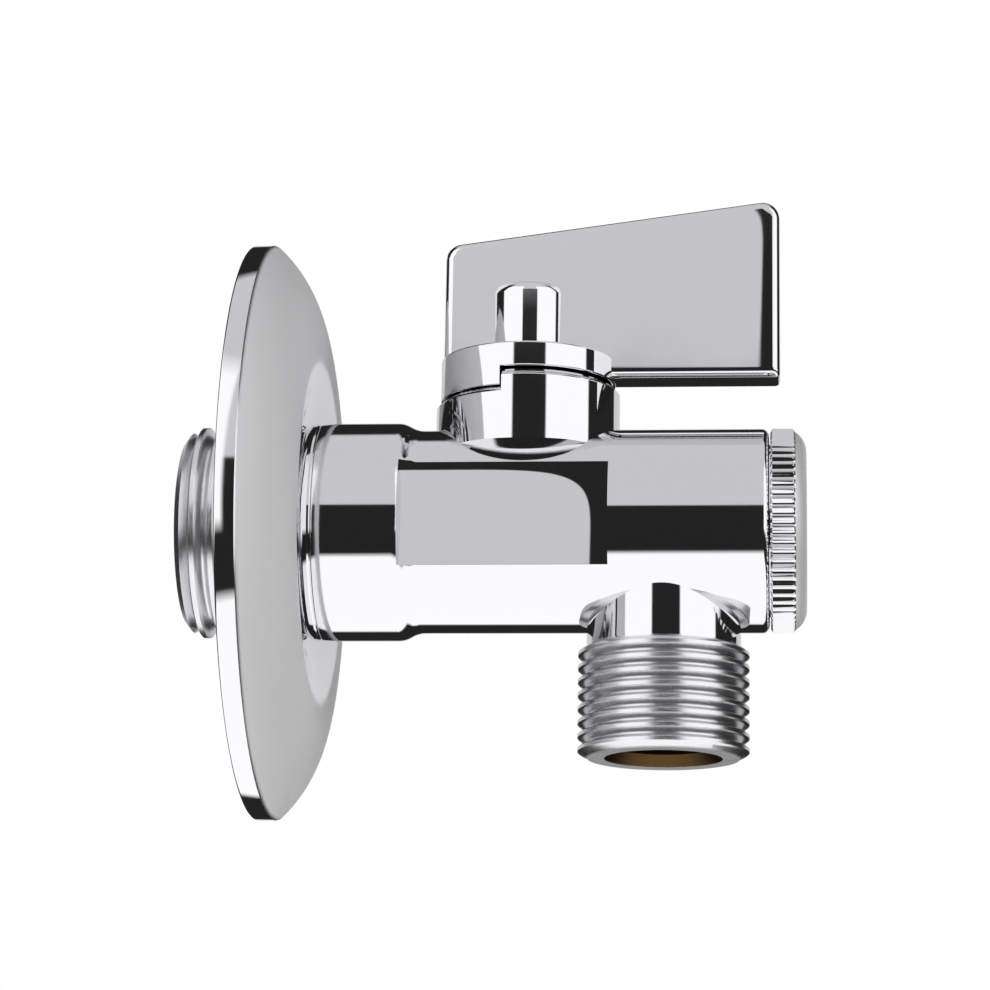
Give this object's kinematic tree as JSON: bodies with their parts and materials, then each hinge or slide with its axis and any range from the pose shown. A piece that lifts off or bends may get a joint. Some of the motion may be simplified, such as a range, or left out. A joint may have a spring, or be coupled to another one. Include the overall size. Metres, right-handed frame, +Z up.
{
  "type": "angle stop valve",
  "caption": "Chrome-plated quarter-turn angle stop valve with a flag lever, wall rosette, knurled end cap over a strainer, and a threaded outlet pointing down.",
  "frame": {"origin": "on the inlet axis, in the plane of the wall that the rosette's rim rests on", "axes": "+X along the barrel away from the wall, +Z up along the stem axis, outlet pointing down along -Z"},
  "size_m": [0.0609, 0.0566, 0.0615],
  "materials": {
    "body_chrome": "polished chrome plate on brass",
    "flange_chrome": "polished chrome plate on spun brass",
    "ball_chrome": "hard chrome plated, ground ball",
    "lever_chrome": "polished chrome plate on zinc die casting",
    "cap_chrome": "chrome plate over turned brass",
    "brass": "turned brass",
    "steel": "stainless set screw",
    "ptfe": "machined PTFE",
    "nbr_rubber": "moulded nitrile rubber",
    "stainless_screen": "perforated stainless sheet",
    "collar_plastic": "moulded acetal"
  },
  "bodies": {
    "housing": {"valve_body": "body_chrome", "inlet_seat": "ptfe", "outlet_seat": "ptfe", "inlet_seat_ring": "nbr_rubber", "outlet_seat_ring": "nbr_rubber", "seat_retainer": "brass"},
    "rosette": {"wall_flange": "flange_chrome"},
    "lever": {"lever_handle": "lever_chrome", "handle_grub_screw": "steel", "stem": "brass", "stem_thrust_washer": "ptfe", "stem_ring_lower": "nbr_rubber", "stem_ring_upper": "nbr_rubber", "ball": "ball_chrome"},
    "strainer": {"strainer_screen": "stainless_screen", "strainer_collar": "collar_plastic"},
    "cap": {"end_cap": "cap_chrome", "end_cap_ring": "nbr_rubber"}
  },
  "joints": [
    {"name": "lever_turn", "type": "hinge", "parent": "housing", "child": "lever", "pos_m": [0.0265, 0, 0], "axis": [0, 0, 1], "range_deg": [-90, 0]},
    {"name": "rosette_slide", "type": "slide", "parent": "housing", "child": "rosette", "axis": [-1, 0, 0], "range_m": [0, 0.006]},
    {"name": "strainer_withdraw", "type": "slide", "parent": "housing", "child": "strainer", "axis": [1, 0, 0], "range_m": [0, 0.003]},
    {"name": "cap_turn", "type": "hinge", "parent": "strainer", "child": "cap", "pos_m": [0.0503, 0, 0], "axis": [1, 0, 0], "range_deg": [0, 1080]}
  ],
  "couplings": [
    {"joint": "strainer_withdraw", "follows": "cap_turn", "m_per_rad": 0.00015915}
  ]
}
